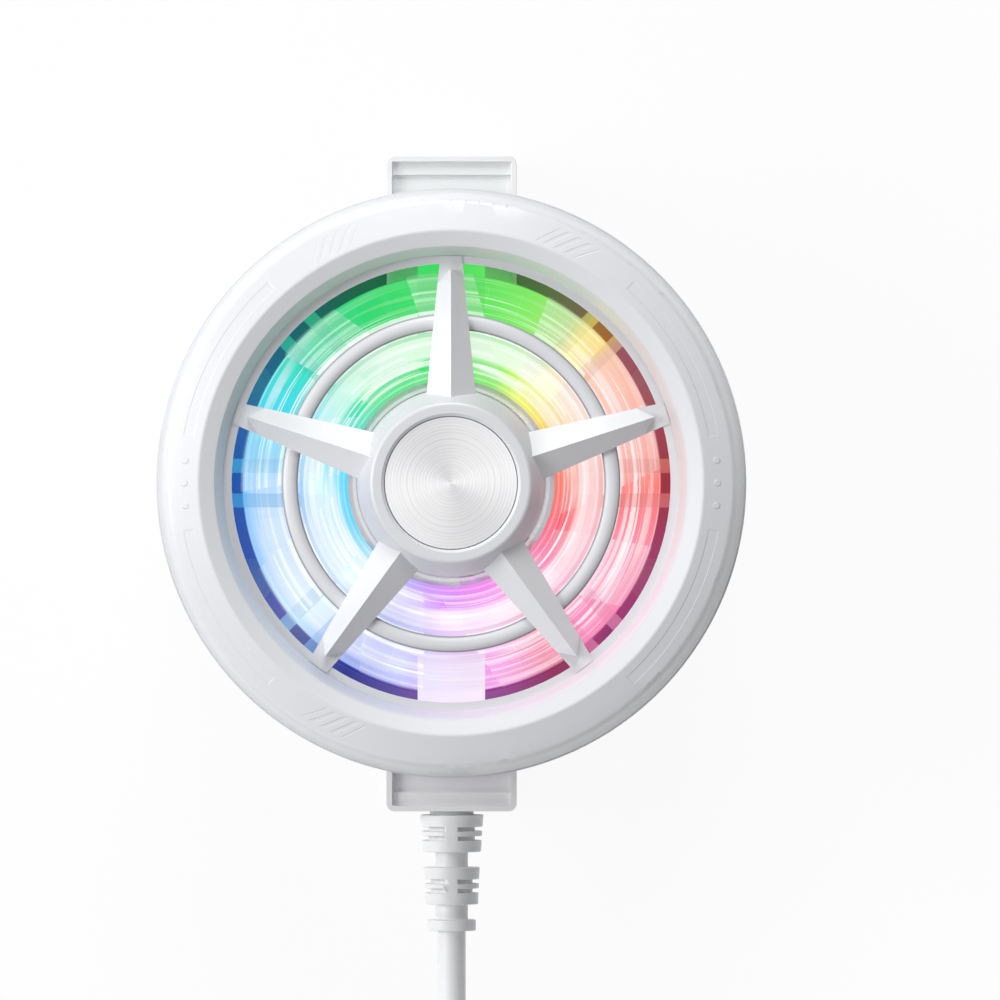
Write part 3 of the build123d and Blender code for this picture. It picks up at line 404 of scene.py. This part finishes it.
inner_colours = [
    (-180, (0.02, 0.62, 0.92)),
    (-158, (0.05, 0.62, 0.92)),
    (-138, (0.40, 0.74, 0.97)),
    (-118, (0.42, 0.42, 0.95)),
    (-100, (0.60, 0.24, 0.92)),
    (-74, (0.86, 0.20, 0.84)),
    (-50, (0.93, 0.18, 0.50)),
    (-20, (0.90, 0.09, 0.14)),
    (5, (0.92, 0.15, 0.05)),
    (22, (0.95, 0.34, 0.06)),
    (35, (0.97, 0.70, 0.04)),
    (52, (0.80, 0.90, 0.05)),
    (67, (0.22, 0.80, 0.08)),
    (90, (0.02, 0.70, 0.10)),
    (132, (0.02, 0.70, 0.22)),
    (150, (0.02, 0.70, 0.55)),
    (166, (0.02, 0.66, 0.84)),
    (180, (0.02, 0.62, 0.92)),
]


level_height = 27
slope_height = 1200


def reach(finish):
    """Distance from the axis, drawn in by one part in 1200 for each mm that a point lies under z 27.
    The pattern lies on parts at many heights. This slope was chosen for the picture: it makes the arcs
    of deep and of high parts meet when the fan is seen from straight above and 1.2 m away. From the
    side they don't meet exactly. It depends on the place on the piece alone."""
    depth = level_height - finish.z / MM
    return finish.radius / (depth / slope_height + 1)


def light_colour(finish):
    """Colour of the lamps' light at each angle, for the outer zone and for the zone next to the hub."""
    zones = [
        finish.add(
            "ValToRGB",
            {"stops": [((degrees + 180) / 360, colour) for degrees, colour in colours]},
            {"Fac": finish.angle},
        )
        for colours in (inner_colours, outer_colours)
    ]
    return finish.blend(finish.between(finish.radius, 13.0 * MM, 16.5 * MM), *zones)


def arcs(finish, turns, per_mm, detail=1.0):
    """Noise drawn out into arcs round the axis: slow with the angle, quick with the distance."""
    across = reach(finish) / MM * per_mm
    place = finish.add("CombineXYZ", sockets={
        0: finish.x / finish.radius * turns, 1: finish.y / finish.radius * turns, 2: across})
    return finish.add("TexNoise", sockets={"Vector": place, "Scale": 1.0, "Detail": detail})


# Angles in radians, counted from the -X side, round which the light is paler
pale_left_at, pale_right_at = 0.62, 3.6


def streaks(finish):
    """How white the light is: fine arcs, broad patches, two pale sectors, and a white ring between hub
    and middle ring."""
    fine = finish.between(arcs(finish, 0.9, 1.7), 0.49, 0.60)
    thin = finish.between(arcs(finish, 1.0, 4.2, 0.0), 0.56, 0.70)
    broad = finish.between(arcs(finish, 1.5, 0.3), 0.42, 0.60)
    turned = finish.angle * (2 * math.pi)
    pale_left = finish.between((turned - pale_left_at).math("COSINE"), 0.55, 0.97)
    pale_right = finish.between((turned - pale_right_at).math("COSINE"), 0.8, 0.99)
    away = reach(finish)
    inner = finish.between(away, 13.2 * MM, 13.9 * MM) * (1 - finish.between(away, 16.2 * MM, 16.8 * MM))
    white = (fine * (broad * 0.75 + 0.12)).math("MAXIMUM", inner * (broad * 0.2 + fine * 0.2 + 0.62))
    white = white.math("MAXIMUM", thin * 0.9).math("MAXIMUM", pale_left * (fine * 0.25 + 0.75))
    white = white.math("MAXIMUM", pale_right * (fine * 0.4 + 0.3))
    deeper_rim = 1 - finish.between(away, 20.2 * MM, 21.8 * MM) * 0.55
    return white * deeper_rim * finish.between(away, 11.6 * MM, 12.6 * MM)


# How much of each colour is left in the dark band beyond the wheel
shade = (0.23, 0.12, 0.26)


def lit(name, colour, shine, roughness, metallic=0.0, edge=None, pale=None, white=0.9):
    """Surface inside the fan with the lamps' light painted on it: its colour is tinted by the light, and
    it glows with the light and its white streaks. shine is how brightly it glows, edge the painted shade:
    how much of each colour is left beyond the wheel, and pale where a painted highlight makes a part
    whiter than the light."""
    finish = Finish(name)
    light = light_colour(finish)
    if pale:
        light = finish.blend(pale(finish), light, (0.95, 0.93, 1.0))
    # Beyond the wheel the glow drops to painted shade, the dark band round the wheel.
    beyond = finish.between(reach(finish), 22.2 * MM, 22.4 * MM)
    glowing = finish.blend(streaks(finish) * white, light, (1, 1, 1))
    clouds = finish.noise(160)
    # Painted light: inner_glow is the lamps' light with its streaks, given as this part's own glow.
    inner_glow = finish.blend(clouds * 0.1 + (shine - 0.02), (0, 0, 0), glowing)
    edge_glow = finish.tint(1.0, edge(finish) if edge else shade, light)
    finish.set(
        Base_Color=finish.tint(0.9, colour, light),
        Metallic=metallic,
        Roughness=clouds * 0.1 + (roughness - 0.05),
        Emission_Color=finish.blend(beyond, inner_glow, edge_glow),
        Emission_Strength=1.0,
    )
    finish.bump(clouds, 0.01 * MM, 0.4)
    return finish


def beside_bar(finish):
    """0 on the frame's broad bar and 1 beside it."""
    return finish.between(finish.x.math("ABSOLUTE"), 7 * MM, 8 * MM)


def bar_edge(finish):
    """Painted light and shade beyond the wheel: the frame's broad bar glows bright to its end, and the thin
    pairs grow darker.
    """
    return finish.blend(beside_bar(finish), (0.9, 0.9, 0.9), (0.5, 0.45, 0.55))


def low_bar(finish):
    """Painted highlight: the lower end of the broad bar is nearly white."""
    return (1 - beside_bar(finish)) * (1 - finish.between(finish.y, -20 * MM, -16 * MM)) * 0.75


# Painted light: the wheel's pale rings stand for the lamps' light drawn into streaks by its turning, in its
# colour, glow and alpha.
wheel_clear = Finish("wheel_clear")
wheel_painted_streaks = wheel_clear.between(wheel_clear.rings(1.5), 0.45, 0.7)
wheel_clear.set(
    Base_Color=wheel_clear.blend(wheel_painted_streaks, (0.3, 0.3, 0.32), (0.8, 0.8, 0.8)),
    Roughness=wheel_painted_streaks * 0.1 + 0.15,
    Emission_Color=wheel_clear.blend(wheel_painted_streaks, (0.5, 0.5, 0.52), (0.9, 0.9, 0.92)),
    Emission_Strength=1.0,
    Alpha=wheel_painted_streaks * 0.1 + 0.09,
)
frame_lit = lit("frame_lit", (0.16, 0.16, 0.17), 0.8, 0.4, white=0.6, edge=bar_edge, pale=low_bar)
sink_lit = lit("sink_lit", (0.2, 0.2, 0.21), 0.86, 0.35, metallic=0.2)
board_lit = lit("board_lit", (0.2, 0.2, 0.2), 0.88, 0.4)
lamps_lit = lit("lamps_lit", (0.3, 0.3, 0.3), 0.92, 0.3)
control_lit = lit("control_lit", (0.12, 0.12, 0.13), 0.88, 0.4)
screw_lit = lit("screw_lit", (0.2, 0.2, 0.2), 0.7, 0.35, metallic=0.2)


def lit_inside(name, colour, roughness):
    """White plastic whose part inside the case has painted shade, tinted and glowing with the lamps' colour
    as painted light.
    """
    finish = moulded(name, colour, roughness, 0.008, coat=0.1)
    inside = (1 - finish.between(finish.radius, 29.4 * MM, 29.6 * MM)) * finish.between(
        finish.z, 12.2 * MM, 12.8 * MM)
    outside_colour = finish.blend(finish.noise(cloud_scale), darker(colour, cloud_share), colour)
    # Painted shade and light: inside the case the colour is the dark shade tint of the lamps' colour, and it
    # glows in it.
    inside_light = finish.tint(1.0, shade, light_colour(finish))
    finish.set(
        Base_Color=finish.blend(inside, outside_colour, inside_light),
        Emission_Color=finish.blend(inside, (0, 0, 0), inside_light),
        Emission_Strength=1.0,
    )
    return finish


case_colour = (0.775, 0.785, 0.81)
shell_white = lit_inside("shell_white", case_colour, 0.38)
fixed_jaw_white = lit_inside("fixed_jaw_white", (0.9, 0.9, 0.905), 0.42)
jaw_white = moulded("jaw_white", (0.84, 0.845, 0.855), 0.42, 0.008)

# %% [markdown]
# ## The guard's middle ring
# The ring that ties the spokes together is rounded on top, so one side of it catches the light and the
# other is in shade. The solid has a plain flat ring. A dome-shaped bump between the ring's two radii,
# kept off the spokes by its height, rounds it without new faces. A darker line along each of its two
# edges stands for the shade there.

# %% Guard with a rounded ring
guard_colour = (0.73, 0.74, 0.765)
ring_edge_colour = (0.36, 0.37, 0.4)
ring_middle, ring_half_width, ring_dome = 17.15, 0.85, 0.36
guard_white = moulded("guard_white", guard_colour, 0.34, 0.008, coat=0.2)
ring_place = (guard_white.radius / MM - ring_middle) / ring_half_width
ring_side = ring_place.math("ABSOLUTE")
off_spokes = 1 - guard_white.between(guard_white.z, 32.82 * MM, 32.88 * MM)
ring_top = (1 - ring_place * ring_place).math("MAXIMUM", 0.0) * off_spokes
ring_edge = guard_white.between(ring_side, 0.72, 0.9) * off_spokes * (
    1 - guard_white.between(ring_side, 1.15, 1.3))
guard_white.set(Base_Color=guard_white.blend(ring_edge, guard_colour, ring_edge_colour))
guard_white.bump(ring_top + guard_white.noise(grain_scale, 1.0) * 0.015, ring_dome * MM)

# %% [markdown]
# ## Marks on the bezel
# The sloping face of the bezel carries marks so shallow that they show only where light grazes them:
# two long tracks on each side, three dots between them and groups of slanted strokes. Cutting them
# would cost thousands of faces, so they are a bump, drawn with the same distance and angle. The lamps'
# coloured light inside the throat of the bezel is painted into its colour.

# %% Bezel with its marks
bezel_white = moulded("bezel_white", case_colour, 0.34, 0.008, coat=0.2)
mark_radius = 28.3
mark_depth = 0.032
track_middle, track_half = 29.0, 18.6
dot_step = 2.4
stroke_slant, stroke_pitch = 0.9, 1.25


def near(finish, value, half, soft_edge):
    """1 where value is within half of zero, fading over soft_edge."""
    return 1 - finish.between(value.math("ABSOLUTE"), half, half + soft_edge)


# Painted light: near the throat the colour is tinted a little by the lamps' coloured light.
spill = 1 - bezel_white.between(bezel_white.radius, 24.5 * MM, 25.5 * MM)
throat_light = bezel_white.tint(1.0, (0.75, 0.75, 0.78), light_colour(bezel_white))
bezel_white.set(Base_Color=bezel_white.blend(spill * 0.25, case_colour, throat_light))
across = bezel_white.radius / MM - mark_radius
off_level = bezel_white.y.math("ABSOLUTE").math("ARCTAN2", bezel_white.x.math("ABSOLUTE")) * (180 / math.pi)
tracks = near(bezel_white, across, 0.45, 0.12) * near(bezel_white, off_level - track_middle, track_half, 0.4)
dot_y = (bezel_white.y.math("ABSOLUTE") / MM - dot_step / 2).math("ABSOLUTE") - dot_step / 2
dots = near(bezel_white, (across * across + dot_y * dot_y).math("SQRT"), 0.28, 0.14)
marks = tracks * -1.0 + dots * 1.7
for middle, share in ((64.0, 1.0), (116.0, 0.5), (-116.0, 1.0)):
    along = ((bezel_white.angle - 0.5) * 360 - middle) * (math.pi / 180 * mark_radius)
    slanted = along + across * stroke_slant
    lines = bezel_white.between((slanted * (2 * math.pi / stroke_pitch)).math("COSINE"), 0.1, 0.5)
    group = lines * near(bezel_white, slanted, 2.3, 0.15) * near(bezel_white, across, 1.0, 0.15)
    marks = marks - group * share
bezel_white.bump(marks + bezel_white.noise(grain_scale, 1.0) * 0.16, mark_depth * MM)
print("finishes:", len(bpy.data.materials))

# %% [markdown]
# ## CAD pieces with smooth curves
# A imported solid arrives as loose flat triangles. Its shape is right, so a copy takes its place: its
# triangles are joined at their corners, and into larger faces where they lie flat. Faces that curve are
# shaded smoothly, and edges that turn by more than the crease angle stay crisp or get a small round.
# Weighted normals keep the large flat faces flat beside the small round ones.

# %% Copies of the solids
body_of = {node: body for body, nodes in frame["record"]["behaviour"]["bodies"].items() for node in nodes}
crease, flat_angle = 34.0, 0.05
same_place = 0.0005 * MM


def finished(node, finish, edge):
    """Smooth copy of a CAD piece. edge is the width in mm of the small round on its sharp edges."""
    mesh = frame["nodes"][node].data.copy()
    mesh.name = node + "_smooth"
    shape = bmesh.new()
    shape.from_mesh(mesh)
    bmesh.ops.remove_doubles(shape, verts=shape.verts, dist=same_place)
    bmesh.ops.dissolve_limit(
        shape, angle_limit=math.radians(flat_angle), verts=shape.verts, edges=shape.edges,
        use_dissolve_boundaries=False,
    )
    for face in shape.faces:
        face.smooth = True
        face.material_index = 0
    for line in shape.edges:
        line.smooth = line.calc_face_angle(0.0) < math.radians(crease)
    shape.to_mesh(mesh)
    shape.free()
    mesh.materials.clear()
    mesh.materials.append(finish.material)
    piece = bpy.data.objects.new(node + "_smooth", mesh)
    scene.collection.objects.link(piece)
    if edge:
        rounding = piece.modifiers.new("rounding", "BEVEL")
        rounding.width = edge * MM
        rounding.segments = 2
        rounding.limit_method = "ANGLE"
        rounding.angle_limit = math.radians(crease)
        rounding.harden_normals = True
    weighting = piece.modifiers.new("weighting", "WEIGHTED_NORMAL")
    weighting.keep_sharp = True
    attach(piece, body_of[node])
    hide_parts(node)
    return piece


for node, finish, edge in (
    ("front_cover", bezel_white, 0.12),
    ("back_shell", shell_white, 0.12),
    ("star_grille", guard_white, 0.14),
    ("hub_disc", spun, 0.0),
    ("impeller", wheel_clear, 0.0),
    ("fan_frame", frame_lit, 0.0),
    ("heat_sink", sink_lit, 0.0),
    ("lamp_board", board_lit, 0.0),
    ("lamps", lamps_lit, 0.0),
    ("sliding_jaw", jaw_white, 0.2),
    ("fixed_jaw", fixed_jaw_white, 0.2),
    ("sliding_jaw_pad", jaw_soft, 0.0),
    ("fixed_jaw_pad", jaw_soft, 0.0),
    ("cold_pad", pad_grey, 0.0),
    ("strain_relief", cord_white, 0.12),
    ("coil_tie", tie_white, 0.0),
    ("plug_grip", plug_white, 0.25),
    ("plug_shell", shell_steel, 0.0),
):
    made = finished(node, finish, edge)
    print(made.name, len(made.data.polygons), "faces")

# %% [markdown]
# ## Floors of the slots in the strain relief
# The slots of the strain relief aren't open right through: a round core stands behind them. It is two
# short cylinders on the cable's axis, added to the same mesh, thinner than the segments round them.

# %% Cores behind the slots
cable_height, core_length = 16.0, 3.7
relief = bpy.data.objects["strain_relief_smooth"]
shape = bmesh.new()
shape.from_mesh(relief.data)
for middle, core_radius in ((-37.7, 2.5), (-43.35, 2.25)):
    lying = Matrix.Translation((0, middle * MM, cable_height * MM)) @ Matrix.Rotation(math.pi / 2, 4, "X")
    bmesh.ops.create_cone(
        shape, cap_ends=True, segments=32, radius1=core_radius * MM, radius2=core_radius * MM,
        depth=core_length * MM, matrix=lying,
    )
shape.to_mesh(relief.data)
shape.free()
print("strain relief:", len(relief.data.polygons), "faces")

# %% [markdown]
# ## Pieces that keep their solids
# Screws, wires, the motor and the boards are small or hidden. Their solids are right as they are and
# only get their finishes.

# %% Finishes for the solids that stay
for finish, nodes in (
    (screw_steel, ("case_screws", "jaw_screws")),
    (screw_lit, ("sink_screws", "frame_screws", "jaw_springs")),
    (motor_steel, ("rotor_yoke", "rotor_shaft", "stator_core")),
    (magnet_black, ("rotor_magnet",)),
    (winding_copper, ("stator_coils",)),
    (bearing_brass, ("bearing_sleeve",)),
    (washer_cream, ("thrust_washer",)),
    (control_lit, ("control_board",)),
    (part_black, ("board_parts",)),
    (plate_aluminium, ("cold_plate",)),
    (module_white, ("cooling_module",)),
    (wire_red, ("module_leads", "supply_leads", "fan_leads")),
    (tongue_white, ("plug_tongue",)),
    (contact_gold, ("plug_contacts",)),
):
    for node in nodes:
        for slot in frame["nodes"][node].material_slots:
            slot.link = "OBJECT"
            slot.material = finish.material

# %% [markdown]
# ## The cable
# The cable is a fixed length of something flexible. It leaves the strain relief straight, comes down to
# the floor outside the picture and is put away in a flat coil of two layers, wound in and out again,
# with its plug beside it. It is one smooth NURBS line: the same corners as the solid's route, and
# twelve points for each turn, set on the polygon that touches the turn's circle from outside, so that
# the line runs on the circle itself.

# %% Cable
cord_radius = 1.5
coil_x, coil_y, coil_z, coil_pitch = -20.8, -103.5, 2.15, 3.45
first_turn, turns = 25.0, 4
steps = 6
cable_points = [(0, y, cable_height) for y in (-48.2, -57.0, -66.0)]
cable_points += [(coil_x, -88.0, coil_z), (coil_x, -100.5, coil_z)]
station, height, way = coil_x, coil_z, 1
inner = first_turn - turns * coil_pitch
half_turns = [first_turn - n * coil_pitch / 2 for n in range(2 * turns)]
half_turns += [inner] + [inner + (n + 1) * coil_pitch / 2 for n in range(2 * turns - 1)]
heading = -1
for number, radius in enumerate(half_turns):
    climb = coil_pitch if number == 2 * turns else 0.0
    outside = radius / math.cos(math.pi / steps / 2)
    for step in range(steps):
        swing = math.pi * (step + 0.5) / steps
        cable_points.append((
            station + way * (radius - outside * math.cos(swing)),
            coil_y + heading * outside * math.sin(swing),
            height + climb * (step + 0.5) / steps,
        ))
    station += way * 2 * radius
    height += climb
    way, heading = -way, -heading
print("cable ends its turns at", round(station, 2), round(height, 2))
plug_x, plug_z = -22.4, 4.0
cable_points += [(coil_x, -106.5, height), (coil_x, -113.0, height)]
cable_points += [(plug_x, -122.5, plug_z), (plug_x, -129.0, plug_z)]

cable_line = bpy.data.curves.new("cable", "CURVE")
cable_line.dimensions = "3D"
spline = cable_line.splines.new("NURBS")
spline.points.add(len(cable_points) - 1)
for point, place in zip(spline.points, cable_points):
    point.co = (*(value * MM for value in place), 1)
spline.order_u = 3
spline.use_endpoint_u = True
spline.resolution_u = 8
cable_line.bevel_depth = cord_radius * MM
cable_line.bevel_resolution = 4
cable_line.materials.append(cord_white.material)
cable = bpy.data.objects.new("cable", cable_line)
scene.collection.objects.link(cable)
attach(cable, "case")
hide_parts("cord_lead", "cord_coil", "cord_tail")
